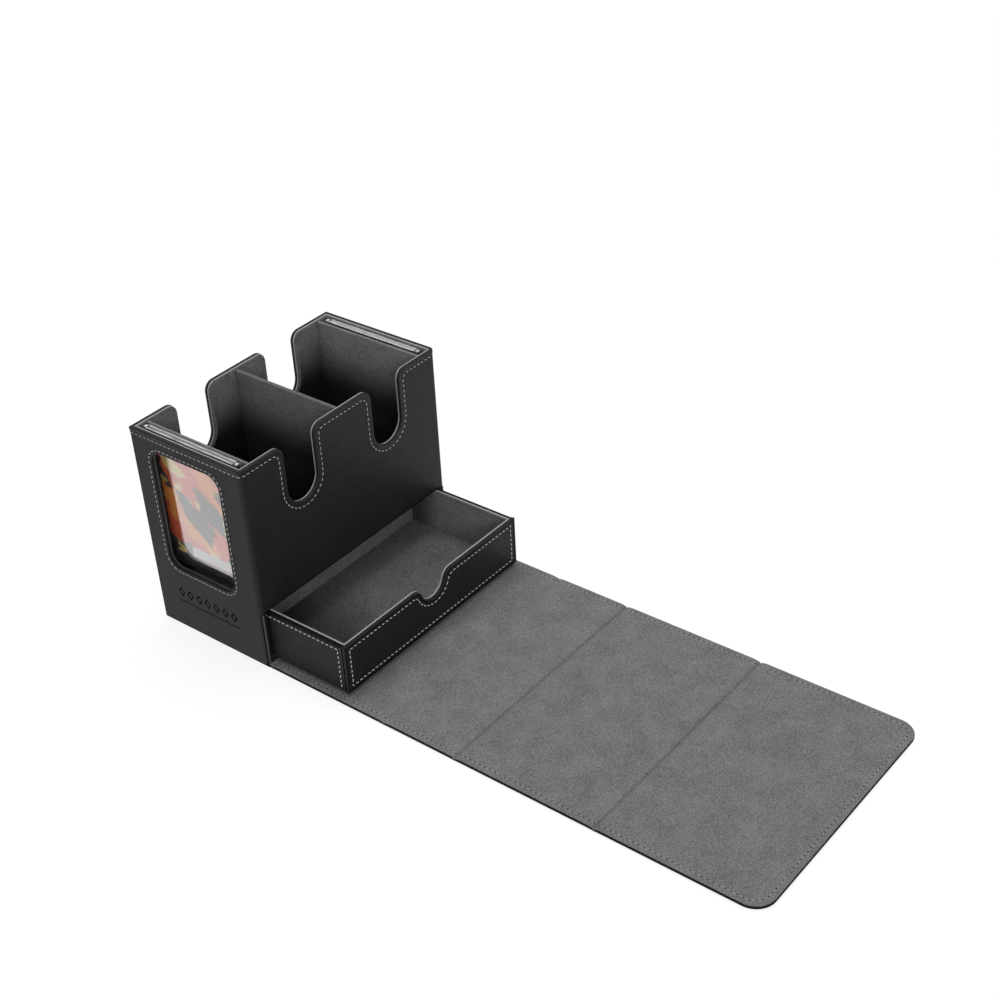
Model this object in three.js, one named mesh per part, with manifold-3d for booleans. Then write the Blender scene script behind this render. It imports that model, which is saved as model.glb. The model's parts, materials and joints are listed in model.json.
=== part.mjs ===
// A card storage box: a leather-covered board case with two card wells, a clear display case in a
// slot at each end, a drawer under the wells, and a lined wrap hinged to the case's lower front edge.
// Millimetres, +Z up. The origin is the centre of the case's underside. The display window faces -X,
// the drawer and the wrap come out towards -Y.
import * as THREE from "three";
import { mergeVertices } from "three/addons/utils/BufferGeometryUtils.js";
import Module from "manifold-3d";

const wasm = await Module();
wasm.setup();

// Case, outside
const caseWidth = 166;
const caseDepth = 88.4;
const caseHeight = 135.2;
const cornerRadius = 3;

// Layers of a wall, from the outside in
const leather = 0.8;
const glue = 0.1;
const wallBoard = 1.4;
const suede = 0.6;
const liningDrop = 0.3;

// Base and deck
const baseBoard = 2.8;
const deckBoard = 1.6;
const bayLiner = 1.3;

// Wells and slots
const slotWidth = 7.1;
const slotLiner = 1.8;
const slotLinerDrop = 0.5;
const dividerThickness = 2.6;
const dividerDrop = 1;

// Notches in the front and back walls
const notchWidth = 25.8;
const notchDepth = 42.6;
const notchFromSide = 46.2;
const notchShoulder = 6.2;

// Windows in the left and right walls
const windowFromFront = 19.4;
const windowFromBack = 13.9;
const windowFromTop = 10.7;
const windowOverDeck = 5.6;
const windowCorner = 8.8;

// Drawer
const drawerHeight = 32.8;
const drawerOut = 59.5;
const drawerBackGap = 0.9;
const drawerSideGap = 1.2;
const drawerFrontLap = 0.8;
const drawerUnderGap = 0.5;
const drawerTopGap = 0.5;
const dipDepth = 12.5;
const dipRadius = 11;
const dipShoulder = 7;

// Display cases
const displaySideGap = 3.1;
const displayPlate = 1.5;
const displayRim = 1;
const displayRimWidth = 2.5;
const displayTopDrop = 1.1;
const leftDisplayWallGap = 2.4;
const rightDisplayWallGap = 0.6;
const displayFloorGap = 0.3;
const leftDisplayShift = 2;
const rightDisplayShift = 0.8;
const cardSideMargin = 6.6;
const cardHeadroom = 3.2;
const cardThickness = 0.4;
const cardGap = 0.3;

// Wrap
const frontUpperLength = 50.5;
const topCreaseSlack = 4.5;
const flapCreaseSlack = 4.1;
const flapLength = 100.4;
const creaseWidth = 6;
const creaseGap = 0.3;
const wrapBoard = 0.9;
const boardInset = 2;
const liningInset = 0.4;
const flapCorner = 12.4;

// Magnets that hold the closing flap to the back wall
const magnetRadius = 5;
const magnetThickness = 1.2;
const flapMagnetThickness = 0.7;
const magnetGap = 0.3;
const magnetFromSide = 28;
const magnetFromEnd = 15;

// Overrun of a cutter past the face it cuts, and steps round an arc
const overrun = 2;
const arcSteps = 10;

// Planes worked out from the sizes above
const halfWidth = caseWidth / 2;
const halfDepth = caseDepth / 2;
const skin = leather + glue;
const wallStack = skin + wallBoard + glue + suede;
const boardFace = skin + wallBoard;
const innerHalfWidth = halfWidth - wallStack;
const innerHalfDepth = halfDepth - wallStack;
const bayFloor = skin + baseBoard + glue + suede;
const drawerBottom = bayFloor + drawerUnderGap;
const bayTop = drawerBottom + drawerHeight + drawerTopGap;
const deckFloor = bayTop + deckBoard + glue + suede;
const slotFloor = bayTop + deckBoard;
const liningTop = caseHeight - liningDrop;
const slotLinerOuter = innerHalfWidth - slotWidth;
const slotLinerInner = slotLinerOuter - slotLiner;
const displayWidth = (innerHalfDepth - displaySideGap) * 2;
const notchFloor = caseHeight - notchDepth;
const notchCentre = halfWidth - notchFromSide;
const notchCentres = [-notchCentre, notchCentre];
const magnetCentre = halfWidth - magnetFromSide;
const magnetCentres = [-magnetCentre, magnetCentre];

// Distances of the wrap's creases and end from the case's front face
const topCreaseAt = caseHeight + topCreaseSlack;
const frontCreaseAt = topCreaseAt - frontUpperLength;
const flapCreaseAt = topCreaseAt + caseDepth + flapCreaseSlack;
const wrapEnd = flapCreaseAt + flapLength;

const leatherBlack = { color: 0x252527, roughness: 0.62, metalness: 0 };
const suedeGrey = { color: 0x6e6b6d, roughness: 0.95, metalness: 0 };
const greyboard = { color: 0x8d877c, roughness: 0.9, metalness: 0 };
const clearPlastic = { color: 0xdde2e4, roughness: 0.08, metalness: 0, transparent: true, opacity: 0.35 };
const printedCard = { color: 0xc96f45, roughness: 0.5, metalness: 0 };
const magnetSteel = { color: 0xb4b6b8, roughness: 0.35, metalness: 1 };

// One named mesh of a piece.
function piece(name, finish, geometry) {
  const mesh = new THREE.Mesh(geometry, new THREE.MeshStandardMaterial(finish));
  mesh.name = name;
  return mesh;
}

// A box between two x, two y and two z planes.
function slab(x0, x1, y0, y1, z0, z1) {
  const box = new THREE.BoxGeometry(x1 - x0, y1 - y0, z1 - z0);
  return box.translate((x0 + x1) / 2, (y0 + y1) / 2, (z0 + z1) / 2);
}

// An outline in x and y, between two z planes.
function plate(shape, z0, z1) {
  const options = { depth: z1 - z0, bevelEnabled: false, curveSegments: arcSteps };
  return new THREE.ExtrudeGeometry(shape, options).translate(0, 0, z0);
}

// An outline in x and z, between two y planes.
function plateAlongY(shape, y0, y1) {
  return plate(shape, 0, y1 - y0).rotateX(Math.PI / 2).translate(0, y1, 0);
}

// An outline in y and z, between two x planes.
function plateAlongX(shape, x0, x1) {
  const turned = plate(shape, 0, x1 - x0).rotateX(Math.PI / 2).rotateZ(Math.PI / 2);
  return turned.translate(x0, 0, 0);
}

function manifoldOf(geometry) {
  const bare = geometry.clone();
  bare.deleteAttribute("normal");
  bare.deleteAttribute("uv");
  const merged = mergeVertices(bare);
  const vertProperties = merged.attributes.position.array;
  const triVerts = new Uint32Array(merged.index.array);
  return new wasm.Manifold(new wasm.Mesh({ numProp: 3, vertProperties, triVerts }));
}

function geometryOf(manifold) {
  const { vertProperties, triVerts } = manifold.getMesh();
  const indexed = new THREE.BufferGeometry();
  indexed.setAttribute("position", new THREE.BufferAttribute(vertProperties, 3));
  indexed.setIndex(new THREE.BufferAttribute(triVerts, 1));
  const geometry = indexed.toNonIndexed();
  geometry.computeVertexNormals();
  return geometry;
}

function cut(geometry, cutters) {
  let body = manifoldOf(geometry);
  for (const cutter of cutters) body = body.subtract(manifoldOf(cutter));
  return geometryOf(body);
}

function join(first, second) {
  return geometryOf(manifoldOf(first).add(manifoldOf(second)));
}

function within(geometry, limits) {
  return geometryOf(manifoldOf(geometry).intersect(manifoldOf(limits)));
}

// A box between two distances from the middle plane, on the side that sign gives.
function sideSlab(sign, near, far, y0, y1, z0, z1) {
  const x = [sign * near, sign * far].sort((a, b) => a - b);
  return slab(x[0], x[1], y0, y1, z0, z1);
}

// A rectangle with all four corners rounded, as an outline or as a hole.
function roundedRectangle(x0, x1, y0, y1, radius) {
  const shape = new THREE.Shape();
  shape.absarc(x1 - radius, y0 + radius, radius, -Math.PI / 2, 0, false);
  shape.absarc(x1 - radius, y1 - radius, radius, 0, Math.PI / 2, false);
  shape.absarc(x0 + radius, y1 - radius, radius, Math.PI / 2, Math.PI, false);
  shape.absarc(x0 + radius, y0 + radius, radius, Math.PI, Math.PI * 1.5, false);
  return shape;
}

// What a U notch takes out of a wall: a half-round floor, upright sides and rounded shoulders.
// A positive grow moves every edge outwards, which leaves room for the leather turned over it.
function notchCutter(x, y0, y1, grow) {
  const half = notchWidth / 2 + grow;
  const shoulder = notchShoulder - grow;
  const top = caseHeight - grow;
  const floorCentre = notchFloor + notchWidth / 2;
  const shape = new THREE.Shape();
  shape.absarc(x + half + shoulder, top - shoulder, shoulder, Math.PI / 2, Math.PI, false);
  shape.absarc(x, floorCentre, half, 0, -Math.PI, true);
  shape.absarc(x - half - shoulder, top - shoulder, shoulder, 0, Math.PI / 2, false);
  shape.lineTo(x - half - shoulder, top + overrun);
  shape.lineTo(x + half + shoulder, top + overrun);
  return plateAlongY(shape, y0 - overrun, y1 + overrun);
}

function notchCutters(y0, y1, grow) {
  return notchCentres.map((x) => notchCutter(x, y0, y1, grow));
}

// A window's hole, through one side wall's layers between two distances from the middle plane.
function windowCutter(sign, near, far, grow) {
  const shape = roundedRectangle(
    -halfDepth + windowFromFront - grow,
    halfDepth - windowFromBack + grow,
    bayTop + windowOverDeck - grow,
    caseHeight - windowFromTop + grow,
    windowCorner + grow,
  );
  const x = [sign * (near - overrun), sign * (far + overrun)].sort((a, b) => a - b);
  return plateAlongX(shape, x[0], x[1]);
}

function windowCutters(near, far, grow) {
  return [-1, 1].map((sign) => windowCutter(sign, near, far, grow));
}

// The thumb dip in the drawer's front: a round floor that rises into two rounded shoulders.
function dipCutter(top, y0, y1, grow) {
  const floor = dipRadius + grow;
  const shoulder = dipShoulder - grow;
  const sum = dipRadius + dipShoulder;
  const rise = sum - dipDepth;
  const reach = Math.sqrt(sum * sum - rise * rise);
  const floorCentre = top - dipDepth + dipRadius;
  const shoulderCentre = top - dipShoulder;
  const lean = Math.atan2(rise, reach);
  const shape = new THREE.Shape();
  shape.absarc(reach, shoulderCentre, shoulder, Math.PI / 2, Math.PI - lean, false);
  shape.absarc(0, floorCentre, floor, -lean, -Math.PI + lean, true);
  shape.absarc(-reach, shoulderCentre, shoulder, lean, Math.PI / 2, false);
  shape.lineTo(-reach, top + overrun);
  shape.lineTo(reach, top + overrun);
  return plateAlongY(shape, y0 - overrun, y1 + overrun);
}

// The plan of the leather round the left, front and right walls, inset from the case's outside.
function coverPlan(inset, thickness) {
  const x = halfWidth - inset;
  const front = -halfDepth + inset;
  const back = halfDepth - skin;
  const radius = cornerRadius - inset;
  const innerX = halfWidth - thickness;
  const innerFront = -halfDepth + thickness;
  const shape = new THREE.Shape();
  shape.absarc(-x + radius, front + radius, radius, Math.PI, Math.PI * 1.5, false);
  shape.absarc(x - radius, front + radius, radius, -Math.PI / 2, 0, false);
  shape.lineTo(x, back);
  shape.lineTo(innerX, back);
  shape.lineTo(innerX, innerFront);
  shape.lineTo(-innerX, innerFront);
  shape.lineTo(-innerX, back);
  shape.lineTo(-x, back);
  return shape;
}

// The plan that the front corners of the wall boards are rounded to.
function boardPlan() {
  return roundedRectangle(
    -halfWidth + skin,
    halfWidth - skin,
    -halfDepth + skin,
    halfDepth + overrun,
    cornerRadius - skin,
  );
}

// The leather skin: wall-thick stock, hollowed for the boards so that it turns over every edge.
function outerCover() {
  const frontFace = -halfDepth;
  const boardBack = frontFace + boardFace;
  const sideInner = halfWidth - boardFace;
  const stock = plate(coverPlan(0, boardFace), skin, caseHeight);
  const turned = cut(plate(coverPlan(leather, boardFace + overrun), 0, caseHeight - leather), [
    ...notchCutters(frontFace, boardBack, leather),
    ...windowCutters(sideInner, halfWidth, leather),
    slab(-sideInner, sideInner, frontFace - overrun, boardBack + overrun, -overrun, bayTop + leather),
  ]);
  return cut(stock, [
    ...notchCutters(frontFace, boardBack, 0),
    ...windowCutters(sideInner, halfWidth, 0),
    slab(-sideInner, sideInner, frontFace - overrun, boardBack + overrun, -overrun, bayTop),
    turned,
  ]);
}

// The back's own leather, turned over the top edge and round the notches.
function backCover() {
  const boardFront = halfDepth - boardFace;
  const boardBack = halfDepth - skin;
  const leatherFront = halfDepth - leather;
  const boardHalf = halfWidth - boardFace - glue;
  const turnHalf = boardHalf - glue;
  const sheet = slab(-halfWidth, halfWidth, leatherFront, halfDepth, skin, caseHeight);
  const turn = slab(-turnHalf, turnHalf, boardFront, halfDepth - leather / 2, skin, caseHeight);
  const hollow = cut(
    slab(
      -halfWidth,
      halfWidth,
      boardFront - overrun,
      leatherFront,
      -overrun,
      caseHeight - leather,
    ),
    notchCutters(boardFront, boardBack, leather),
  );
  return cut(join(sheet, turn), [...notchCutters(boardFront, halfDepth, 0), hollow]);
}

// A round pocket or disc for a magnet, along y between two y planes.
function discAlongY(radius, x, z, y0, y1) {
  const disc = new THREE.CylinderGeometry(radius, radius, y1 - y0, arcSteps * 2);
  return disc.translate(x, (y0 + y1) / 2, z);
}

// The walls' boards, and the magnets in the back one at the height where the closed flap ends.
function addWallBoards(group) {
  const boardTop = caseHeight - skin;
  const sideOuter = halfWidth - skin;
  const sideInner = halfWidth - boardFace;
  const frontOuter = -halfDepth + skin;
  const frontInner = -halfDepth + boardFace;
  const backOuter = halfDepth - skin;
  const corners = plate(boardPlan(), 0, caseHeight);
  for (const [side, sign] of [["left", -1], ["right", 1]]) {
    const stock = sideSlab(sign, sideInner, sideOuter, frontOuter, backOuter, skin, boardTop);
    const board = cut(within(stock, corners), [windowCutter(sign, sideInner, sideOuter, skin)]);
    group.add(piece(`${side}_wall_board`, greyboard, board));
  }

  const endHalf = sideInner - glue;
  const frontStock = slab(-endHalf, endHalf, frontOuter, frontInner, bayTop + skin, boardTop);
  const frontNotches = notchCutters(frontOuter, frontInner, skin);
  const frontBoard = cut(within(frontStock, corners), frontNotches);
  group.add(piece("front_wall_board", greyboard, frontBoard));

  const backInner = halfDepth - boardFace;
  const pocket = magnetRadius + magnetGap;
  const magnetZ = caseHeight - flapLength + magnetFromEnd;
  const pockets = magnetCentres.map((x) =>
    discAlongY(pocket, x, magnetZ, backInner - overrun, backOuter + overrun),
  );
  const backBoard = slab(-endHalf, endHalf, backInner, backOuter, skin, boardTop);
  const backCuts = [...notchCutters(backInner, backOuter, skin), ...pockets];
  group.add(piece("back_wall_board", greyboard, cut(backBoard, backCuts)));
  for (const [side, x] of [["left", -magnetCentre], ["right", magnetCentre]]) {
    const disc = discAlongY(magnetRadius, x, magnetZ, backOuter - magnetThickness, backOuter);
    group.add(piece(`${side}_back_magnet`, magnetSteel, disc));
  }
}

// The suede on the inside of the four walls. Beside the drawer it runs on to the case's front.
function addWallLinings(group) {
  const foot = skin + baseBoard + glue;
  const outer = innerHalfWidth + suede;
  const inner = innerHalfWidth;
  const bayFront = -halfDepth + skin;
  for (const [side, sign] of [["left", -1], ["right", 1]]) {
    const wall = sideSlab(sign, inner, outer, -innerHalfDepth, innerHalfDepth, foot, liningTop);
    const ahead = sideSlab(sign, inner, outer, bayFront, -innerHalfDepth, foot, bayTop - glue);
    const lining = cut(join(wall, ahead), [windowCutter(sign, inner, outer, 0)]);
    group.add(piece(`${side}_wall_lining`, suedeGrey, lining));
  }

  const span = innerHalfWidth - glue;
  const face = innerHalfDepth;
  const front = slab(-span, span, -face - suede, -face, bayTop, liningTop);
  const frontCuts = notchCutters(-face - suede, -face, 0);
  group.add(piece("front_wall_lining", suedeGrey, cut(front, frontCuts)));
  const back = slab(-span, span, face, face + suede, foot, liningTop);
  const backCuts = notchCutters(face, face + suede, 0);
  group.add(piece("back_wall_lining", suedeGrey, cut(back, backCuts)));
}

// The base: leather that turns up over its front edge, a board, and the suede the drawer slides on.
function addBase(group) {
  const boardHalf = halfWidth - boardFace - glue;
  const boardFront = -halfDepth + skin;
  const boardBack = halfDepth - boardFace - glue;
  const boardTop = skin + baseBoard;
  const sheet = slab(-halfWidth, halfWidth, -halfDepth, halfDepth, 0, leather);
  const turn = slab(-boardHalf, boardHalf, -halfDepth, -halfDepth + leather, 0, bayFloor);
  group.add(piece("base_cover", leatherBlack, join(sheet, turn)));
  const board = slab(-boardHalf, boardHalf, boardFront, boardBack, skin, boardTop);
  group.add(piece("base_board", greyboard, board));
  const liningHalf = innerHalfWidth - glue;
  const liningBack = innerHalfDepth - glue;
  const lining = slab(-liningHalf, liningHalf, boardFront, liningBack, boardTop + glue, bayFloor);
  group.add(piece("bay_floor_lining", suedeGrey, lining));
}

// The deck over the drawer bay with the liners that carry it, the slot liners and the divider.
function addDeck(group) {
  const span = innerHalfWidth - glue;
  const depth = innerHalfDepth - glue;
  const bayInner = span - bayLiner;
  const bayFront = -halfDepth + skin;
  const dividerHalf = dividerThickness / 2;
  const foot = slotFloor + glue;
  const linerTop = caseHeight - slotLinerDrop;
  const deck = slab(-span, span, -depth, depth, bayTop, slotFloor);
  group.add(piece("deck_board", leatherBlack, deck));
  for (const [side, sign] of [["left", -1], ["right", 1]]) {
    const bay = sideSlab(sign, bayInner, span, bayFront, depth, bayFloor + glue, bayTop - glue);
    group.add(piece(`${side}_bay_liner`, leatherBlack, bay));
    const slot = sideSlab(sign, slotLinerInner, slotLinerOuter, -depth, depth, foot, linerTop);
    group.add(piece(`${side}_slot_liner`, suedeGrey, slot));
    const floorFar = slotLinerInner - glue;
    const floor = sideSlab(sign, dividerHalf + glue, floorFar, -depth, depth, foot, deckFloor);
    group.add(piece(`${side}_well_lining`, suedeGrey, floor));
  }
  const dividerTop = caseHeight - dividerDrop;
  const divider = slab(-dividerHalf, dividerHalf, -depth, depth, foot, dividerTop);
  group.add(piece("divider", suedeGrey, divider));
}

// The drawer, drawn with its front face at y 0 and its underside at z 0.
function makeDrawer() {
  const group = new THREE.Group();
  const length = caseDepth - wallStack - drawerBackGap;
  const half = innerHalfWidth - bayLiner - drawerSideGap;
  const frontHalf = half + drawerFrontLap;
  const top = drawerHeight;
  const boardTop = top - skin;

  const frontStock = slab(-frontHalf, frontHalf, 0, boardFace, 0, top);
  const frontHollow = cut(
    slab(
      -frontHalf + leather,
      frontHalf - leather,
      leather,
      boardFace + overrun,
      leather,
      top - leather,
    ),
    [dipCutter(top, 0, boardFace, leather)],
  );
  const frontCover = cut(frontStock, [dipCutter(top, 0, boardFace, 0), frontHollow]);
  group.add(piece("drawer_front_cover", leatherBlack, frontCover));
  const frontBoard = cut(
    slab(-frontHalf + skin, frontHalf - skin, skin, boardFace, skin, boardTop),
    [dipCutter(top, 0, boardFace, skin)],
  );
  group.add(piece("drawer_front_board", greyboard, frontBoard));

  const bodyFront = boardFace + glue;
  const bodyFoot = leather + glue;
  const innerHalf = half - boardFace;
  const innerBack = length - boardFace;
  const bodyStock = slab(-half, half, bodyFront, length, bodyFoot, top);
  const bodyCover = cut(bodyStock, [
    slab(-innerHalf, innerHalf, -overrun, innerBack, -overrun, top + overrun),
    slab(
      -half + leather,
      half - leather,
      -overrun,
      length - leather,
      -overrun,
      top - leather,
    ),
  ]);
  group.add(piece("drawer_body_cover", leatherBlack, bodyCover));
  const baseCover = slab(-half, half, bodyFront, length, 0, leather);
  group.add(piece("drawer_base_cover", leatherBlack, baseCover));

  const sideOuter = half - skin;
  const boardBack = length - skin;
  const leftBoard = slab(-sideOuter, -innerHalf, bodyFront, boardBack, bodyFoot, boardTop);
  group.add(piece("drawer_left_board", greyboard, leftBoard));
  const rightBoard = slab(innerHalf, sideOuter, bodyFront, boardBack, bodyFoot, boardTop);
  group.add(piece("drawer_right_board", greyboard, rightBoard));
  const backHalf = innerHalf - glue;
  const backBoard = slab(-backHalf, backHalf, innerBack, boardBack, bodyFoot, boardTop);
  group.add(piece("drawer_back_board", greyboard, backBoard));

  const floorTop = bodyFoot + wallBoard;
  const floorBack = innerBack - glue;
  const floorBoard = slab(-backHalf, backHalf, bodyFront, floorBack, bodyFoot, floorTop);
  group.add(piece("drawer_floor_board", greyboard, floorBoard));

  const liningFoot = floorTop + glue;
  const wellHalf = backHalf - suede;
  const wellFront = bodyFront + suede;
  const wellBack = floorBack - suede;
  const wallLining = cut(
    slab(-backHalf, backHalf, bodyFront, floorBack, liningFoot, top - liningDrop),
    [
      slab(-wellHalf, wellHalf, wellFront, wellBack, -overrun, top + overrun),
      dipCutter(top, bodyFront, wellFront, 0),
    ],
  );
  group.add(piece("drawer_wall_lining", suedeGrey, wallLining));
  const floorLining = slab(
    -wellHalf + glue,
    wellHalf - glue,
    wellFront + glue,
    wellBack - glue,
    liningFoot,
    liningFoot + suede,
  );
  group.add(piece("drawer_floor_lining", suedeGrey, floorLining));

  group.position.set(0, -halfDepth - drawerOut, drawerBottom);
  return group;
}

// One clear display case: two plates on a rim that is open at the top, and the card between them.
// It is drawn with its outward plate at x 0 and its foot at z 0; sign turns it to either end. It
// stands loose in its slot, a gap away from the wall's lining and shifted along it.
function makeDisplay(side, sign, wallGap, shift) {
  const group = new THREE.Group();
  const half = displayWidth / 2;
  const height = caseHeight - displayTopDrop - slotFloor - displayFloorGap;
  const rimNear = displayPlate + glue;
  const rimFar = rimNear + displayRim;
  const plateNear = rimFar + glue;
  const plateFar = plateNear + displayPlate;
  const layer = (near, far, y, z0, z1) => sideSlab(sign, near, far, -y, y, z0, z1);
  const outerPlate = layer(0, displayPlate, half, 0, height);
  group.add(piece(`${side}_display_outer_plate`, clearPlastic, outerPlate));
  const innerPlate = layer(plateNear, plateFar, half, 0, height);
  group.add(piece(`${side}_display_inner_plate`, clearPlastic, innerPlate));

  const open = half - displayRimWidth;
  const opening = layer(
    rimNear - overrun,
    rimFar + overrun,
    open,
    displayRimWidth,
    height + overrun,
  );
  const rim = cut(layer(rimNear, rimFar, half, 0, height), [opening]);
  group.add(piece(`${side}_display_rim`, clearPlastic, rim));

  const cardNear = rimNear + (displayRim - cardThickness) / 2;
  const cardFoot = displayRimWidth + cardGap;
  const card = layer(
    cardNear,
    cardNear + cardThickness,
    half - cardSideMargin,
    cardFoot,
    height - cardHeadroom,
  );
  group.add(piece(`${side}_display_card`, printedCard, card));

  const x = -sign * (innerHalfWidth - wallGap);
  group.position.set(x, shift, slotFloor + displayFloorGap);
  return group;
}

// A panel's outline in plan, running from its near to its far edge along -Y, far corners rounded.
function panelPlan(near, far, inset, farRadius) {
  const x = halfWidth - inset;
  const y0 = -far + inset;
  const y1 = -near - inset;
  const shape = new THREE.Shape();
  shape.moveTo(x, y1);
  shape.lineTo(-x, y1);
  if (farRadius > inset) {
    const radius = farRadius - inset;
    shape.absarc(-x + radius, y0 + radius, radius, Math.PI, Math.PI * 1.5, false);
    shape.absarc(x - radius, y0 + radius, radius, Math.PI * 1.5, Math.PI * 2, false);
  } else {
    shape.lineTo(-x, y0);
    shape.lineTo(x, y0);
  }
  return shape;
}

// One stiff panel of the wrap: leather, board and suede. Distances are from its own crease.
function addPanel(group, name, near, far, farRadius, pockets) {
  const boardFoot = leather + glue;
  const boardTop = boardFoot + wrapBoard;
  const liningFoot = boardTop + glue;
  const cover = plate(panelPlan(near, far, 0, farRadius), 0, leather);
  group.add(piece(`${name}_cover`, leatherBlack, cover));
  const boardShape = panelPlan(near, far, boardInset, farRadius);
  for (const [x, y] of pockets) {
    const hole = new THREE.Path();
    hole.absarc(x, y, magnetRadius + magnetGap, 0, Math.PI * 2, true);
    boardShape.holes.push(hole);
  }
  group.add(piece(`${name}_board`, greyboard, plate(boardShape, boardFoot, boardTop)));
  const lining = plate(panelPlan(near, far, liningInset, farRadius), liningFoot, liningFoot + suede);
  group.add(piece(`${name}_lining`, suedeGrey, lining));
}

// The soft strip at a crease, where leather and suede are bonded with no board between them.
function creaseStrip(name) {
  const half = creaseWidth / 2 - creaseGap;
  const strip = slab(-halfWidth, halfWidth, -half, half, 0, leather + glue + suede);
  return piece(name, suedeGrey, strip);
}

// The wrap: four panels in a chain, each group hung at the crease it turns about.
function makeWrap() {
  const half = creaseWidth / 2;
  const creases = [half, frontCreaseAt, topCreaseAt, flapCreaseAt];
  const ends = [...creases.slice(1).map((at) => at - half), wrapEnd];
  const panels = ["front_lower", "front_upper", "top_panel", "closing_flap"];
  const strips = ["base_crease", "front_crease", "top_crease", "flap_crease"];
  const groups = creases.map((at, i) => {
    const group = new THREE.Group();
    group.position.y = i ? creases[i - 1] - at : -halfDepth - at;
    return group;
  });
  groups.forEach((group, i) => {
    const last = i === groups.length - 1;
    const far = ends[i] - creases[i];
    const magnetY = magnetFromEnd - far;
    const pockets = last ? magnetCentres.map((x) => [x, magnetY]) : [];
    group.add(creaseStrip(strips[i]));
    addPanel(group, panels[i], half, far, last ? flapCorner : 0, pockets);
    if (!last) {
      group.add(groups[i + 1]);
      return;
    }
    for (const [side, x] of [["left", -magnetCentre], ["right", magnetCentre]]) {
      const steps = arcSteps * 2;
      const disc = new THREE.CylinderGeometry(magnetRadius, magnetRadius, flapMagnetThickness, steps);
      disc.rotateX(Math.PI / 2).translate(x, magnetY, leather + glue + flapMagnetThickness / 2);
      group.add(piece(`${side}_flap_magnet`, magnetSteel, disc));
    }
  });
  return groups[0];
}

const box = new THREE.Group();
const caseGroup = new THREE.Group();
box.add(caseGroup);
addBase(caseGroup);
caseGroup.add(piece("outer_cover", leatherBlack, outerCover()));
caseGroup.add(piece("back_cover", leatherBlack, backCover()));
addWallBoards(caseGroup);
addWallLinings(caseGroup);
addDeck(caseGroup);
box.add(makeDrawer());
box.add(makeDisplay("left", 1, leftDisplayWallGap, leftDisplayShift));
box.add(makeDisplay("right", -1, rightDisplayWallGap, rightDisplayShift));
box.add(makeWrap());

export default box;
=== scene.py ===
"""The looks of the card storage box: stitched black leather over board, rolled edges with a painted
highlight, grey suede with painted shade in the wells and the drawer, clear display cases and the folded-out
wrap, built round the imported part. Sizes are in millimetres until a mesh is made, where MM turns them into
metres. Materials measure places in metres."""

import json

import bmesh
import bpy
import numpy as np
from mathutils import Matrix, Vector


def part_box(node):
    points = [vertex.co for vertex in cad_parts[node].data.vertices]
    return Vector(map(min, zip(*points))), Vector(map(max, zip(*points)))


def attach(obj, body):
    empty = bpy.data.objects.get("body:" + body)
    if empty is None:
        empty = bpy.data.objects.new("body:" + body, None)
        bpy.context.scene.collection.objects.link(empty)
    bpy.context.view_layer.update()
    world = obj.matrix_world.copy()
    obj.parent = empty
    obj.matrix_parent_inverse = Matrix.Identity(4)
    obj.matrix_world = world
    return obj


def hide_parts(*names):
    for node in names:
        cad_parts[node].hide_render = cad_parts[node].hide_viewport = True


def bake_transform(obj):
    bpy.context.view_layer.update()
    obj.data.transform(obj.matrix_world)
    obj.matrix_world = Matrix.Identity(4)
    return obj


MM = 0.001
UP = [0, 0, 1]
SIDES = (("left", -1), ("right", 1))
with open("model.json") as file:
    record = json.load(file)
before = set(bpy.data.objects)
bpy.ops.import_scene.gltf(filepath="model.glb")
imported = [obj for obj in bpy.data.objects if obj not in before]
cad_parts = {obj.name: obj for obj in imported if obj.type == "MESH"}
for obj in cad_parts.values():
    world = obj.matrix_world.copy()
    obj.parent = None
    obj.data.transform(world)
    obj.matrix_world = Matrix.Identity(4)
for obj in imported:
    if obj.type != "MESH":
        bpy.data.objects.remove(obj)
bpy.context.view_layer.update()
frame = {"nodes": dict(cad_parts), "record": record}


# Sizes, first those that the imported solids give
def box_of(node):
    """The low and high corners of a solid's box, to the nearest tenth of a millimetre."""
    return [[round(length / MM, 1) for length in corner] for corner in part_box(node)]


# Case
CASE_X, CASE_Y, _ = box_of("base_cover")[1]
HIGH = box_of("outer_cover")[1][2]
OPENING_Z = box_of("deck_board")[0][2]
CORNER = 3.0
NOTCH_X, NOTCH_R, NOTCH_Z, SHOULDER_R = 36.8, 12.9, 105.5, 6.2
WINDOW_Y0, WINDOW_Y1, WINDOW_Z0, WINDOW_Z1, WINDOW_R = -24.8, 30.3, 43.8, 124.5, 8.8

# Drawer
(_, DRAWER_Y, DRAWER_Z0), (DRAWER_FRONT_X, _, DRAWER_Z1) = box_of("drawer_front_cover")
DRAWER_X, DRAWER_BACK_Y, _ = box_of("drawer_body_cover")[1]
DIP_DEEP, DIP_R, DIP_SHOULDER = 12.5, 11.0, 7.0

# Wrap: the creases' places in y, half the length of wrap that bends at each and how deep its fold is
CREASE_HALF = {"base": 2.7, "front": 5.0, "top": 5.0, "flap": 5.0}
FOLDS = {"base": 0.3, "front": 0.45, "top": 1.1, "flap": 1.1}
CREASES = {name: sum(corner[1] for corner in box_of(f"{name}_crease")) / 2 for name in FOLDS}
CREASE_ROWS = 61
WRAP_END = box_of("closing_flap_cover")[0][1]
FLAP_R = 12.4
MAT_TOP = box_of("front_lower_lining")[1][2]
MAT_LIP = 1.95
SEW_INSET = 3.7


# Meshes
def put(name, data, place=(0, 0, 0), turn=None):
    """A new object in the scene, turned by a quaternion where one is given."""
    thing = bpy.data.objects.new(name, data)
    bpy.context.scene.collection.objects.link(thing)
    thing.location = place
    if turn is not None:
        thing.rotation_mode = "QUATERNION"
        thing.rotation_quaternion = turn
    return thing


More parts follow.
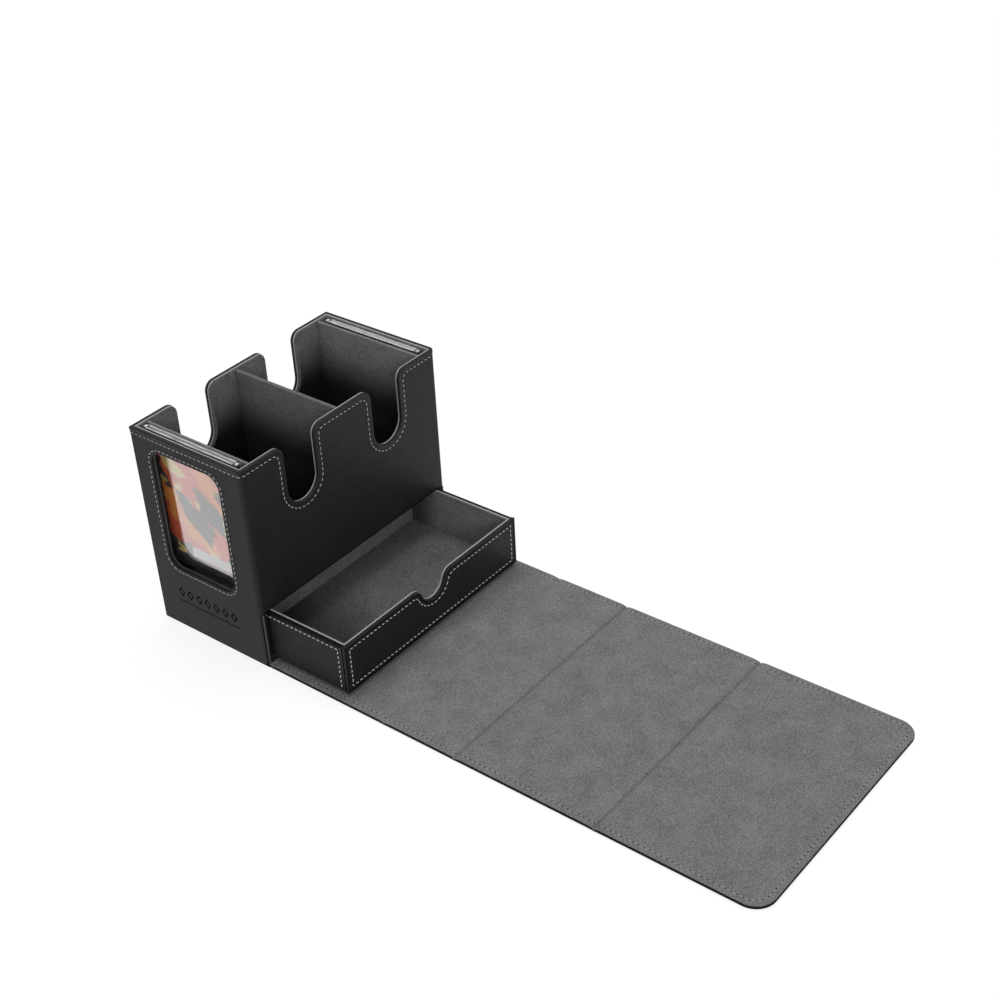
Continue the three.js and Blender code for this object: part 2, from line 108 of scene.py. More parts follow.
def make_piece(name, grid, faces, material):
    """One closed mesh from points in millimetres, with doubled points merged and faces turned outwards."""
    mesh = bpy.data.meshes.new(name)
    mesh.from_pydata((grid.reshape(-1, 3) * MM).tolist(), [], faces)
    body = bmesh.new()
    body.from_mesh(mesh)
    bmesh.ops.remove_doubles(body, verts=body.verts, dist=1e-7)
    bmesh.ops.dissolve_degenerate(body, edges=body.edges, dist=1e-8)
    bmesh.ops.recalc_face_normals(body, faces=body.faces)
    body.to_mesh(mesh)
    body.free()
    mesh.polygons.foreach_set("use_smooth", np.full(len(mesh.polygons), True))
    mesh.materials.append(material)
    return put(name, mesh)


def soften(piece, degrees=40):
    """Faces that meet at a sharper angle than this keep a crisp edge."""
    edges = bmesh.new()
    edges.from_mesh(piece.data)
    limit = float(np.radians(degrees))
    for edge in edges.edges:
        edge.smooth = len(edge.link_faces) == 2 and edge.calc_face_angle(0.0) < limit
    edges.to_mesh(piece.data)
    edges.free()
    return piece


def grid_faces(rows, columns, round_rows=False, round_columns=False, ends=False):
    """The quads of a grid of points, row by row, joined round and closed at both ends where asked."""
    i = np.arange(rows if round_rows else rows - 1)[:, None]
    j = np.arange(columns if round_columns else columns - 1)[None, :]
    i2, j2 = (i + 1) % rows, (j + 1) % columns
    corners = [i * columns + j, i2 * columns + j, i2 * columns + j2, i * columns + j2]
    faces = np.stack(np.broadcast_arrays(*corners), -1).reshape(-1, 4).tolist()
    if ends:
        faces += [list(range(columns)), [(rows - 1) * columns + k for k in range(columns)]]
    return faces


def rounded_block(name, low, high, radius, material, steps=4):
    """A block with every edge rounded. For each direction on a ball, given by two angles, the point is
    the corner of the inner block that the direction faces, plus the radius times the direction."""
    low, high = np.asarray(low, float), np.asarray(high, float)
    centre, inner = (low + high) / 2, (high - low) / 2 - radius
    quarter = np.linspace(0, np.pi / 2, steps + 1)
    turn = (np.arange(4)[:, None] * np.pi / 2 + quarter).ravel()
    facing = np.repeat(np.arange(4) * np.pi / 2 + np.pi / 4, steps + 1)
    rise = np.concatenate([quarter - np.pi / 2, quarter])[:, None]
    upper = np.repeat([-1.0, 1.0], steps + 1)[:, None]
    ball = np.cos(rise) * np.cos(turn), np.cos(rise) * np.sin(turn), np.sin(rise)
    corner = np.sign(np.cos(facing)), np.sign(np.sin(facing)), upper
    ball, corner = (np.stack(np.broadcast_arrays(*parts), -1) for parts in (ball, corner))
    points = centre + corner * inner + ball * radius
    tip = np.array([0, 0, inner[2] + radius])
    around = points.shape[1]
    bottom, top = (np.tile(centre + way * tip, (1, around, 1)) for way in (-1, 1))
    grid = np.concatenate([bottom, points, top])
    faces = grid_faces(len(grid), around, round_columns=True)
    return soften(make_piece(name, grid, faces, material))


# Rims
def stretch(points, out, past):
    """A rim is the edge of a wall: points on its outer face, at each the way out of the wall's face and
    the way out past the edge."""
    points = np.asarray(points, float).reshape(-1, 3)
    return points, *(np.broadcast_to(np.asarray(way, float), points.shape) for way in (out, past))


def chain(*parts):
    """Stretches of a rim, one after another."""
    return tuple(np.concatenate([part[i] for part in parts]) for i in range(3))


def bend(centre, radius, start, stop, across, up, out, inwards=False, steps=12):
    """An arc in the wall's own plane: the centre plus the radius times the way that each angle gives.
    The edge faces out from the centre, or in towards it on a hollow arc."""
    angle = np.radians(np.linspace(start, stop, steps + 1))[:, None]
    away = np.cos(angle) * across + np.sin(angle) * up
    return stretch(centre + radius * away, out, -away if inwards else away)


def notched_top(sign, inset, shoulder_r):
    """The top edge of the front wall (sign -1) or the back wall (1) with its two notches, walked with
    the wall's outer side on the right, or a line a set way inside it with its own rounding at the
    shoulders."""
    up, across, out = np.array([0.0, 0, 1]), np.array([-float(sign), 0, 0]), [0, sign, 0]
    y = sign * CASE_Y
    end, level = across * (CASE_X - CORNER), [0, y, HIGH - inset]
    parts = [stretch(level - end, out, up)]
    notch_r = NOTCH_R + inset
    reach = notch_r + shoulder_r
    shoulder = up * (HIGH - inset - shoulder_r)
    for side in (-1, 1):
        middle = across * side * NOTCH_X + [0, y, 0]
        hollow = middle + up * NOTCH_Z
        parts += [
            bend(middle - across * reach + shoulder, shoulder_r, 90, 0, across, up, out),
            bend(hollow, notch_r, 180, 360, across, up, out, inwards=True, steps=28),
            bend(middle + across * reach + shoulder, shoulder_r, 180, 90, across, up, out),
        ]
    return chain(*parts, stretch(level + end, out, up))


def corner_turn(centre, start, stop, steps=8):
    """The top edge where it turns round an upright corner: the way out turns, the way past stays up."""
    angle = np.radians(np.linspace(start, stop, steps + 1))[:, None]
    out = np.hstack([np.cos(angle), np.sin(angle), 0 * angle])
    return stretch(centre + CORNER * out, out, UP)


def case_rim(inset=0.0, shoulder_r=SHOULDER_R):
    """The case's whole top edge, from the left back corner round the front and back again, or a line a
    set way below it with its own rounding at the shoulders."""
    x, y, z = CASE_X, CASE_Y, HIGH - inset
    inner_x, inner_y = x - CORNER, y - CORNER
    return chain(
        stretch([-x, y, z], [-1, 1, 0], UP),
        stretch([-x, 0, z], [-1, 0, 0], UP),
        corner_turn([-inner_x, -inner_y, z], 180, 270),
        notched_top(-1, inset, shoulder_r),
        corner_turn([inner_x, -inner_y, z], 270, 360),
        stretch([x, 0, z], [1, 0, 0], UP),
        stretch([x, y, z], [1, 1, 0], UP),
        notched_top(1, inset, shoulder_r),
    )


def window_rim(sign):
    """A window's edge, walked round its rounded corners."""
    out, across, r = [sign, 0, 0], [0, 1, 0], WINDOW_R
    near_y, far_y = WINDOW_Y0 + r, WINDOW_Y1 - r
    low_z, high_z = WINDOW_Z0 + r, WINDOW_Z1 - r
    spots = [(far_y, low_z, -90), (far_y, high_z, 0), (near_y, high_z, 90), (near_y, low_z, 180)]
    turns = [
        bend([sign * CASE_X, y, z], r, start, start + 90, across, UP, out, inwards=True)
        for y, z, start in spots
    ]
    return chain(*turns)


def dipped_top(half_wide, inset=0.0, shoulder_r=DIP_SHOULDER):
    """The top edge of the drawer's front with its thumb dip, half_wide to each side, or a line a set way
    below and inside it with its own rounding at the shoulders."""
    across, out = [1, 0, 0], [0, -1, 0]
    y, dip_r, top = DRAWER_Y, DIP_R + inset, DRAWER_Z1 - inset
    total = dip_r + shoulder_r
    rise = total - DIP_DEEP
    reach = np.sqrt(total**2 - rise**2)
    lean = np.degrees(np.arctan2(rise, reach))
    low = [0, y, top - DIP_DEEP + dip_r]
    left = [-reach, y, top - shoulder_r]
    right = [reach, y, top - shoulder_r]
    return chain(
        stretch([-half_wide, y, top], out, UP),
        bend(left, shoulder_r, 90, lean, across, UP, out),
        bend(low, dip_r, 180 + lean, 360 - lean, across, UP, out, inwards=True, steps=24),
        bend(right, shoulder_r, 180 - lean, 90, across, UP, out),
        stretch([half_wide, y, top], out, UP),
    )


def drawer_rim():
    """The drawer's top edge all the way round, with mitred corners."""
    x, back_y, z = DRAWER_X, DRAWER_BACK_Y, DRAWER_Z1
    points, out, past = dipped_top(x)
    out = out.copy()
    out[0], out[-1] = [-1, -1, 0], [1, -1, 0]
    return chain(
        (points, out, past),
        stretch([x, back_y, z], [1, 1, 0], UP),
        stretch([-x, back_y, z], [-1, 1, 0], UP),
    )


def band(name, rim, section, material, closed=True):
    """A closed section carried along a rim. Its first number runs inwards through the wall from the
    outer face, its second runs out past the edge: point = rim - first * out + second * past."""
    points, out, past = rim
    a, b = np.asarray(section, float).T[:, None, :, None]
    grid = points[:, None] - a * out[:, None] + b * past[:, None]
    rows, columns = grid.shape[:2]
    faces = grid_faces(rows, columns, closed, True, ends=not closed)
    return soften(make_piece(name, grid, faces, material), 50)


# Sections of what runs along a rim
def leather_section(face, across, proud=0.25, radius=0.75, high=0.25, sunk=0.6):
    """The leather turned over an edge: flush at the outer face, slightly proud at a rounded shoulder
    that stands a little above the edge, and down again at its cut edge. The face is how far down it
    reaches outside, across how far through the wall, and sunk how deep its underside lies."""
    inside, lead, corner = 0.25, 0.4, 0.1
    turn = np.radians(np.linspace(180, 90, 7))
    shoulder = [radius - proud + radius * np.cos(turn), high - radius + radius * np.sin(turn)]
    rise = [[inside, -face], [0.0, -face], [-proud * 0.45, -face * 0.75], [-proud, -face * 0.4]]
    fall = [[across - lead, high], [across - corner, high * 0.4], [across, -inside]]
    return np.concatenate([rise, np.stack(shoulder, -1), fall, [[across, -sunk], [lead, -sunk]]])


def roll_section(centre, height, half_wide, half_high):
    """A round roll of suede along an edge."""
    turn = np.radians(np.arange(0, 360, 30))
    return np.stack([centre + half_wide * np.cos(turn), height + half_high * np.sin(turn)], -1)


def strip_section(near, far, top, thick=0.2):
    """A thin strip along an edge, from near to far through the wall."""
    return [[near, top - thick], [near, top], [far, top], [far, top - thick]]


def seam_section(near, far, proud=0.07, sunk=0.2):
    """A thin strip on a wall's outer face, from near to far inside its edge."""
    return [[sunk, -near], [-proud, -near], [-proud, -far], [sunk, -far]]


# The lining's rounded lip inside the roll: its points across the wall, listed
SUEDE_LIP = [[2.55, -1.0], [2.55, -0.45], [2.7, -0.2], [2.9, -0.18], [3.06, -0.4], [3.1, -0.9]]
SUEDE_LIP += [[3.07, -1.8], [3.0, -2.4], [2.8, -2.4]]

# Stitches
STITCH_PITCH = 3.4
STITCH_RINGS, STITCH_SIDES = 7, 6
STITCH_SUNK, STITCH_FLATNESS = 0.06, 0.8
ON_LEATHER = {"long": 2.5, "thick": 0.25, "rise": 0.14}, {"long": 1.0, "thick": 0.3}
ON_SUEDE = {"long": 2.3, "thick": 0.24, "rise": 0.1}, {"long": 1.1, "thick": 0.32}


def line_inside(rim, inset):
    """A closed line on the wall's outer face, a set way inside the edge."""
    points, out, past = rim
    return points - inset * past, unit(out), True


def unit(ways):
    return ways / np.linalg.norm(ways, axis=1, keepdims=True)


def measured(points, out, closed):
    """How far along a line each of its points lies, with the points and ways, less the doubled ones."""
    if closed:
        points, out = np.vstack([points, points[:1]]), np.vstack([out, out[:1]])
    length = np.concatenate([[0], np.cumsum(np.linalg.norm(np.diff(points, axis=0), axis=1))])
    keep = np.concatenate([[True], np.diff(length) > 1e-6])
    return length[keep], points[keep], out[keep]


def values_at(where, length, values):
    return np.stack([np.interp(where, length, values[:, k]) for k in range(3)], -1)


def stitches(name, lines, material, long, thick, rise, phase=0.5, slant=0.1):
    """Threads laid end to end along lines, a little slantwise. Each is a spindle: with the way along it
    from -1 to 1, its centre line rises as one minus the square, and its radius is the root of one minus
    the fourth power. The phase says how far the first lies from the line's start, in pitches."""
    along = np.linspace(-1, 1, STITCH_RINGS)[:, None, None]
    turn = np.radians(np.arange(0, 360, 360 // STITCH_SIDES))[:, None]
    swell = np.sqrt(np.maximum(1 - along**4, 0)) * thick
    lift = rise * (1 - along**2) - STITCH_SUNK
    half = long / 2
    grids = []
    for line in lines:
        length, points, out = measured(*line)
        whole = length[-1]
        count = max(1, round(whole / STITCH_PITCH))
        spot = (np.arange(count) + phase) * whole / count
        centre, normal = values_at(spot, length, points), unit(values_at(spot, length, out))
        ahead = values_at(np.minimum(spot + half, whole), length, points)
        behind = values_at(np.maximum(spot - half, 0), length, points)
        way = unit(ahead - behind)
        side = np.cross(way, normal)
        way = way + slant * side
        centre, way, side, normal = (part[:, None, None] for part in (centre, way, side, normal))
        ring = np.cos(turn) * side + np.sin(turn) * normal * STITCH_FLATNESS
        grids.append(centre + way * (along * half) + normal * lift + ring * swell)
    grid = np.concatenate(grids)
    first = np.arange(len(grid)) * STITCH_RINGS * STITCH_SIDES
    faces = np.asarray(grid_faces(STITCH_RINGS, STITCH_SIDES, round_columns=True))
    faces = (faces[None] + first[:, None, None]).reshape(-1, 4)
    return make_piece(name, grid, faces.tolist(), material)


def sewing(name, lines, yarn, threads, hole_shades):
    """Threads, and near-black spindles between them: painted shade where they go down through their holes.
    """
    sewn = stitches(f"{name}_stitches", lines, yarn, **threads)
    return sewn, stitches(f"{name}_stitch_holes", lines, STITCH_HOLE_SHADE, **hole_shades, rise=0.02, phase=0.0)


# Sheets of the wrap
SUEDE_EDGE, LIP_STEP = 0.3, 0.05
MAT_ROLL = 0.55
GROOVE_DEEP, GROOVE_HALF = 0.28, 0.5
TROUGH_DEEP, FOLD_HALF = 0.6, 0.8


def mat_height(inset):
    """The height of the suede's top at a distance inside the wrap's edge: from the lip it rises as one
    minus a falling exponential, and a bell curve draws it down in a groove under the stitches."""
    rise = 1 - np.exp(-(inset - SUEDE_EDGE) / MAT_ROLL)
    groove = GROOVE_DEEP * np.exp(-(((inset - SEW_INSET) / GROOVE_HALF) ** 2))
    return MAT_LIP + LIP_STEP + (MAT_TOP - MAT_LIP - LIP_STEP) * rise - groove


def crease_dip(y, fold):
    """How far the suede sinks at each y of a crease: a wide shallow trough, one cosine wave, with a
    narrow fold in its middle, a bell curve. Nothing sinks where no fold is given."""
    if not fold:
        return 0 * y
    middle, half = (y[0] + y[-1]) / 2, abs(y[-1] - y[0]) / 2
    way = np.clip(np.abs(y - middle) / half, 0, 1)
    trough = TROUGH_DEEP * (0.5 + 0.5 * np.cos(np.pi * way))
    return trough + fold * np.exp(-(((y - middle) / FOLD_HALF) ** 2))


SEW_Z = float(mat_height(np.array(SEW_INSET)))

# Sections across the wrap's edge: the leather tray, and the suede's top from the middle out and its
# underside back in. The tray's points, and how far inside the edge the suede's lie, are listed
INSETS = np.array([0.3, 0.4, 0.55, 0.8, 1.2, 1.8, 2.6, 3.1, 3.4, 3.7, 4.0, 4.3, 4.9, 6.0, 8.0])
TRAY = [[8.0, 0.0], [0.9, 0.0], [0.35, 0.06], [0.08, 0.3], [0.0, 0.7], [0.03, 1.65], [0.2, 1.9]]
TRAY = np.array(TRAY + [[0.5, 1.95], [0.8, 1.75], [0.9, 0.85], [8.0, 0.85]])
SUEDE_THICK, OVER_LIP = 0.55, 0.02
SUEDE_UNDER = np.maximum(mat_height(INSETS) - SUEDE_THICK, MAT_LIP + OVER_LIP)
SUEDE_TOP = np.stack([INSETS, mat_height(INSETS)], -1)[::-1]
SECTION = np.concatenate([SUEDE_TOP, np.stack([INSETS, SUEDE_UNDER], -1)])


def wrap_strip(name, y0, y1, section, material, fold=None):
    """A stretch of the wrap between two y planes. The section runs across the left edge and is mirrored
    on the right; over a fold every height sinks by the crease's dip, in proportion to it."""
    rows = CREASE_ROWS if fold else 2
    y = np.linspace(y0, y1, rows)
    d, z = section.T
    x = np.concatenate([-(CASE_X - d), (CASE_X - d)[::-1]])
    z = np.concatenate([z, z[::-1]])
    sunk = z - crease_dip(y, fold)[:, None] * np.clip(z / MAT_TOP, 0, 1)
    grid = np.stack(np.broadcast_arrays(x, y[:, None], sunk), -1)
    faces = grid_faces(rows, len(x), round_columns=True, ends=True)
    return soften(make_piece(name, grid, faces, material), 50)


def leather_under(piece):
    """The faces of the wrap's tray that look down show the leather's full finish."""
    mesh = piece.data
    mesh.materials.append(LEATHER)
    facing = np.empty(len(mesh.polygons) * 3)
    mesh.polygons.foreach_get("normal", facing)
    mesh.polygons.foreach_set("material_index", (facing[2::3] < -0.7).astype(np.int32))
    return piece


def flap_outline(y0):
    """The closing flap's edge: down one side, round both far corners and back up the other side."""
    x, r = CASE_X, FLAP_R
    across, along, out = [1, 0, 0], [0, 1, 0], [0, 0, 1]
    return chain(
        stretch([-x, y0, 0], out, [-1, 0, 0]),
        bend([-x + r, WRAP_END + r, 0], r, 180, 270, across, along, out, steps=14),
        bend([x - r, WRAP_END + r, 0], r, 270, 360, across, along, out, steps=14),
        stretch([x, y0, 0], out, [1, 0, 0]),
    )


def flap_sheet(name, y0, section, material):
    """The closing flap: the section carried round the outline, its flat middle closed above and below."""
    points, out, past = flap_outline(y0)
    d, z = section.T[:, None, :, None]
    grid = points[:, None] - d * past[:, None] + z * out[:, None]
    rows, n = grid.shape[:2]
    faces = grid_faces(rows, n)
    faces.append([i * n for i in range(rows)])
    faces.append([i * n + n - 1 for i in range(rows)])
    faces.append(list(range(n)) + [(rows - 1) * n + k for k in reversed(range(n))])
    return soften(make_piece(name, grid, faces, material), 50)


def edge_rows(y0, y1, fold=None):
    """Stitch lines along both long edges between two y planes, following a crease down and up again."""
    y = np.linspace(y0, y1, CREASE_ROWS)
    z = SEW_Z - crease_dip(y, fold) * SEW_Z / MAT_TOP
    out = np.broadcast_to([0.0, 0, 1], (len(y), 3))
    row_x = CASE_X - SEW_INSET
    return [(np.stack([0 * y + x, y, z], -1), out, False) for x in (-row_x, row_x)]


# Materials
def new_material(name, colour, roughness, **more):
    """A plain material; more names other inputs of its shader, such as Metallic."""
    material = bpy.data.materials.new(name)
    material.use_nodes = True
    shader = principled(material)
    for key, value in {"Base Color": (*colour, 1), "Roughness": roughness, **more}.items():
        shader.inputs[key].default_value = value
    return material


def principled(material):
    return material.node_tree.nodes["Principled BSDF"]


def feed(material, value, name):
    """Drives one of the shader's inputs with a node's output."""
    material.node_tree.links.new(value, principled(material).inputs[name])


def add_node(material, kind, settings=None, **inputs):
    """One shader node, with its settings, and its inputs set to values or linked from other nodes'
    outputs. An input is named by its name, or by i and its number."""
    node = material.node_tree.nodes.new(f"ShaderNode{kind}")
    for key, value in (settings or {}).items():
        setattr(node, key, value)
    for key, value in inputs.items():
        socket = node.inputs[int(key[1:])] if key[0] == "i" and key[1:].isdigit() else node.inputs[key]
        if isinstance(value, bpy.types.NodeSocket):
            material.node_tree.links.new(value, socket)
        else:
            socket.default_value = value
    return node


def calc(material, operation, *values):
    """A Math node's result."""
    inputs = {f"i{k}": value for k, value in enumerate(values)}
    return add_node(material, "Math", {"operation": operation}, **inputs).outputs[0]


def times(material, *values):
    return calc(material, "MULTIPLY", *values)


def blended(material, first, second, share):
    """The first value with a share of the second in its place."""
    return calc(material, "ADD", times(material, first, 1 - share), times(material, second, share))


def mapped(material, value, settings=None, **ends):
    """A value moved from one range to another. The ends are named as on the node, with _ for a space."""
    inputs = {key.replace("_", " "): end for key, end in ends.items()}
    return add_node(material, "MapRange", settings, Value=value, **inputs).outputs[0]


def sharpened(material, amount):
    """The middle of a noise's range, spread over 0 to 1."""
    return mapped(material, amount, From_Min=0.3, From_Max=0.7)


def mixed(material, share, low, high):
    """A colour that goes from low to high as the share goes from 0 to 1."""
    settings = {"data_type": "RGBA"}
    return add_node(material, "Mix", settings, i0=share, i6=low, i7=high).outputs[2]


def mottle(material, vector, scale, detail=2.0, roughness=0.5):
    inputs = {"Vector": vector, "Scale": scale, "Detail": detail, "Roughness": roughness}
    return add_node(material, "TexNoise", **inputs).outputs["Fac"]


def tint_by(material, colour, amount, spread):
    """The base colour, made lighter and darker round its mean by a 0 to 1 amount."""
    low, high = ((*(c * (1 + way * spread) for c in colour), 1) for way in (-1, 1))
    tinted = mixed(material, amount, low, high)
    feed(material, tinted, "Base Color")
    return tinted


def bump_by(material, height, strength, distance):
    inputs = {"Height": height, "Strength": strength, "Distance": distance}
    feed(material, add_node(material, "Bump", **inputs).outputs["Normal"], "Normal")


def coordinates(material):
    return add_node(material, "TexCoord").outputs["Object"]


def split(material, place):
    return add_node(material, "SeparateXYZ", Vector=place).outputs


def joined(material, x, y, z):
    return add_node(material, "CombineXYZ", X=x, Y=y, Z=z).outputs[0]


def seen_slantwise(material):
    """From 0 where a face is seen straight on to 1 along its outline."""
    return add_node(material, "LayerWeight", Blend=0.5).outputs["Facing"]


def grain_vector(material, place):
    """Coordinates for the leather's slanting grain: fine across the slant, long along it."""
    fine, long, middling = 1500.0, 260.0, 700.0
    x, y, z = split(material, place)
    run = calc(material, "ADD", x, y)
    across = times(material, calc(material, "SUBTRACT", run, z), fine)
    along = times(material, calc(material, "ADD", run, z), long)
    third = times(material, calc(material, "SUBTRACT", x, y), middling)
    return joined(material, across, along, third)


def leather(name, colour, roughness=0.5, gloss=0.235, emblem=False):
    """Black leather with a slanting grain. It shines less the more slantwise it is seen. The emblem is
    pressed in: darker, a deeper tone with painted shade in its marks, duller and lower than the leather
    round it."""
    sheen = {"Specular IOR Level": gloss, "Specular Tint": (1, 0.93, 1, 1)}
    material = new_material(name, colour, roughness, **sheen)
    place = coordinates(material)
    grain = mottle(material, grain_vector(material, place), scale=1.0, roughness=0.6)
    cloud = mottle(material, place, scale=45.0, detail=3.0)
    tone = sharpened(material, blended(material, grain, cloud, share=0.3))
    tinted = tint_by(material, colour, tone, spread=0.5)
    height = grain
    dulled = calc(material, "POWER", seen_slantwise(material), 4.0)
    shine = calc(material, "MULTIPLY_ADD", dulled, -gloss, gloss)
    if emblem:
        # The pressed marks' near-black is a deeper tone of the leather together with painted shade.
        pressed_tone_and_shade, pressed_deep, pressed_dull = (0.002, 0.002, 0.002, 1), 2.5, 0.3
        pressed = pressed_row(material, place)
        height = calc(material, "SUBTRACT", grain, times(material, pressed, pressed_deep))
        shine = calc(material, "MULTIPLY_ADD", pressed, -pressed_dull, shine)
        feed(material, mixed(material, pressed, tinted, pressed_tone_and_shade), "Base Color")
    feed(material, shine, "Specular IOR Level")
    bump_by(material, height, strength=0.7, distance=0.0009)
    return material


def pressed_row(material, place):
    """A pressed row of lozenges over a rule, low on the left wall: 1 where the leather is pressed in. A
    lozenge is where the shares of its half width and half height add up to between hollow and 1."""
    pitch, half_wide, half_high, hollow = 7.4, 2.7, 3.6, 0.62
    row_y, half_row, row_z, rule_z, half_rule = 2.4, 25.9, 26.2, 19.6, 0.35
    wall_x = 0.1 - CASE_X
    parts = split(material, place)
    y, z = (times(material, parts[k], 1 / MM) for k in (1, 2))
    cell = calc(material, "PINGPONG", calc(material, "ADD", y, half_row - row_y), pitch / 2)
    across = calc(material, "DIVIDE", calc(material, "SUBTRACT", pitch / 2, cell), half_wide)
    rise = calc(material, "ABSOLUTE", calc(material, "SUBTRACT", z, row_z))
    reach = calc(material, "ADD", across, calc(material, "DIVIDE", rise, half_high))
    outer, inner = (calc(material, "LESS_THAN", reach, edge) for edge in (1.0, hollow))
    lozenge = calc(material, "SUBTRACT", outer, inner)
    rule = calc(material, "COMPARE", z, rule_z, half_rule)
    marks = calc(material, "MAXIMUM", lozenge, rule)
    wide = calc(material, "COMPARE", y, row_y, half_row)
    face = calc(material, "LESS_THAN", parts[0], wall_x * MM)
    return times(material, times(material, marks, wide), face)


def suede(name, colour, spread, painted_shade_by=None, sheen=0.25):
    """Mottled grey nap. A shade function may darken it by place with painted shade."""
    nap_sheen = {"Sheen Weight": sheen, "Sheen Roughness": 0.4, "Specular IOR Level": 0.2}
    material = new_material(name, colour, 0.95, **nap_sheen)
    place = coordinates(material)
    blotch = mottle(material, place, scale=60.0, detail=5.0, roughness=0.65)
    nap = mottle(material, place, scale=1300.0, roughness=0.8)
    tone = sharpened(material, blended(material, blotch, nap, share=0.78))
    tinted = tint_by(material, colour, tone, spread)
    # Painted shade: the nap's colour is mixed towards black by the shade function's share.
    if painted_shade_by:
        share = painted_shade_by(material, *split(material, place))
        feed(material, mixed(material, share, (0, 0, 0, 1), tinted), "Base Color")
    bump_by(material, nap, strength=0.7, distance=0.0006)
    return material


def fade(material, value, start, stop, low, high=1.0):
    """A smooth change from low to high while the value goes from start to stop."""
    smooth = {"interpolation_type": "SMOOTHSTEP"}
    return mapped(material, value, smooth, From_Min=start, From_Max=stop, To_Min=low, To_Max=high)


def painted_shade_down_a_well(bottom, top):
    """Painted shade down a well: the nap stays light above one height and turns nearly black below another.
    """

    def shade(material, x, y, z):
        return fade(material, z, bottom, top, low=0.03)

    return shade


def painted_shade_across_the_drawer_floor(material, x, y, z):
    """Painted shade on the floor's nap: darkest at the left end, lightest at the right, and darker under
    the case.
    """
    left = fade(material, x, start=-0.045, stop=-0.005, low=0.28, high=0.75)
    right = fade(material, x, start=0.05, stop=0.08, low=0.0, high=0.25)
    under = fade(material, times(material, y, -1.0), start=0.022, stop=0.045, low=0.75)
    return times(material, calc(material, "ADD", left, right), under)


def painted_shade_along_the_drawer_walls(material, x, y, z):
    """Painted shade on the walls' nap: the side walls darken towards the case. The back wall, which ends
    the drawer, is evenly light.
    """
    back_wall_y, back_wall_share = -0.0223, 0.8
    sides = fade(material, times(material, y, -1.0), start=0.026, stop=0.048, low=0.25)
    back = calc(material, "GREATER_THAN", y, back_wall_y)
    return calc(material, "MAXIMUM", sides, times(material, back, back_wall_share))


def thread(name, colour):
    material = new_material(name, colour, 0.7, **{"Sheen Weight": 0.2})
    fuzz = mottle(material, coordinates(material), scale=2500.0)
    tint_by(material, colour, fuzz, spread=0.2)
    bump_by(material, fuzz, strength=0.3, distance=0.0001)
    return material


def show(holder, share, first, second):
    """The material or world shows the first shader node, and the second as the share goes from 0 to 1."""
    mix = add_node(holder, "MixShader", i0=share, i1=first.outputs[0], i2=second.outputs[0])
    output = next(node for node in holder.node_tree.nodes if node.type.startswith("OUTPUT"))
    holder.node_tree.links.new(mix.outputs[0], output.inputs["Surface"])


def clear_plastic(name):
    """A clear sheet, which mirrors more the more slantwise it is seen."""
    head_on, slantwise = 0.04, 0.75
    material = new_material(name, (0.8, 0.82, 0.83), 0.04)
    see = add_node(material, "BsdfTransparent", Color=(0.98, 0.98, 0.98, 1))
    gloss = add_node(material, "BsdfGlossy", Color=(1, 1, 1, 1), Roughness=0.03)
    slant = calc(material, "POWER", seen_slantwise(material), 2.0)
    share = calc(material, "MULTIPLY_ADD", slant, slantwise, head_on)
    show(material, share, see, gloss)
    material.node_tree.nodes.remove(principled(material))
    return material


def printed_card(name):
    """A generic picture: slanting brush strokes of flat colour over a dark ground, each colour where its
    own stretched noise is above a level, a bare dark foot and a plain pale label above it. Strokes are
    a colour, a scale, a level and a layer of the noise."""
    dark, pale = (0.02, 0.02, 0.023, 1), (0.56, 0.56, 0.55, 1)
    slope, along_share, across_share = 0.8, 0.7, 1.5
    foot_z, label_z, half_label, label_end_y = 0.0512, 0.0552, 0.0034, 0.0165
    strokes = [
        ((0.62, 0.09, 0.03), 19.0, 0.47, 0.6),
        ((0.72, 0.25, 0.04), 26.0, 0.57, 3.1),
        ((0.66, 0.52, 0.17), 30.0, 0.6, 7.4),
        ((0.025, 0.025, 0.028), 30.0, 0.56, 11.9),
    ]
    material = new_material(name, (0.5, 0.2, 0.1), 0.45)
    x, y, z = split(material, coordinates(material))
    run = calc(material, "MULTIPLY_ADD", z, slope, y)
    cross = calc(material, "MULTIPLY_ADD", y, -slope, z)
    colour = dark
    for tint, scale, level, layer in strokes:
        long = times(material, run, scale * along_share)
        fine = times(material, cross, scale * across_share)
        stroke = joined(material, long, fine, layer)
        amount = mottle(material, stroke, scale=1.0, detail=3.0, roughness=0.45)
        here = calc(material, "GREATER_THAN", amount, level)
        colour = mixed(material, here, colour, (*tint, 1))
    colour = mixed(material, calc(material, "LESS_THAN", z, foot_z), colour, dark)
    beside = calc(material, "LESS_THAN", y, label_end_y)
    level = calc(material, "COMPARE", z, label_z, half_label)
    feed(material, mixed(material, times(material, beside, level), colour, pale), "Base Color")
    return material


def board(name, colour, gloss=0.5):
    material = new_material(name, colour, 0.9, **{"Specular IOR Level": gloss})
    flecks = mottle(material, coordinates(material), scale=600.0, detail=4.0, roughness=0.7)
    tint_by(material, colour, flecks, spread=0.35)
    bump_by(material, flecks, strength=0.3, distance=0.0001)
    return material


def sawn_and_lit_edge(name, colour, spread):
    """The cut edge of clear sheets: streaks along the edge, paler and darker from place to place, saw marks
    with painted broken highlights.
    """
    fine, long = 1800.0, 110.0
    material = new_material(name, colour, 0.4)
    x, y, z = split(material, coordinates(material))
    streak = joined(material, times(material, x, fine), times(material, y, long), z)
    amount = mottle(material, streak, scale=1.0, detail=3.0, roughness=0.6)
    tint_by(material, colour, sharpened(material, amount), spread)
    bump_by(material, amount, strength=0.5, distance=0.0003)
    return material


def steel(name, colour):
    material = new_material(name, colour, 0.3, Metallic=1.0)
    smear = mottle(material, coordinates(material), scale=220.0, detail=3.0)
    feed(material, mapped(material, smear, To_Min=0.22, To_Max=0.4), "Roughness")
    return material


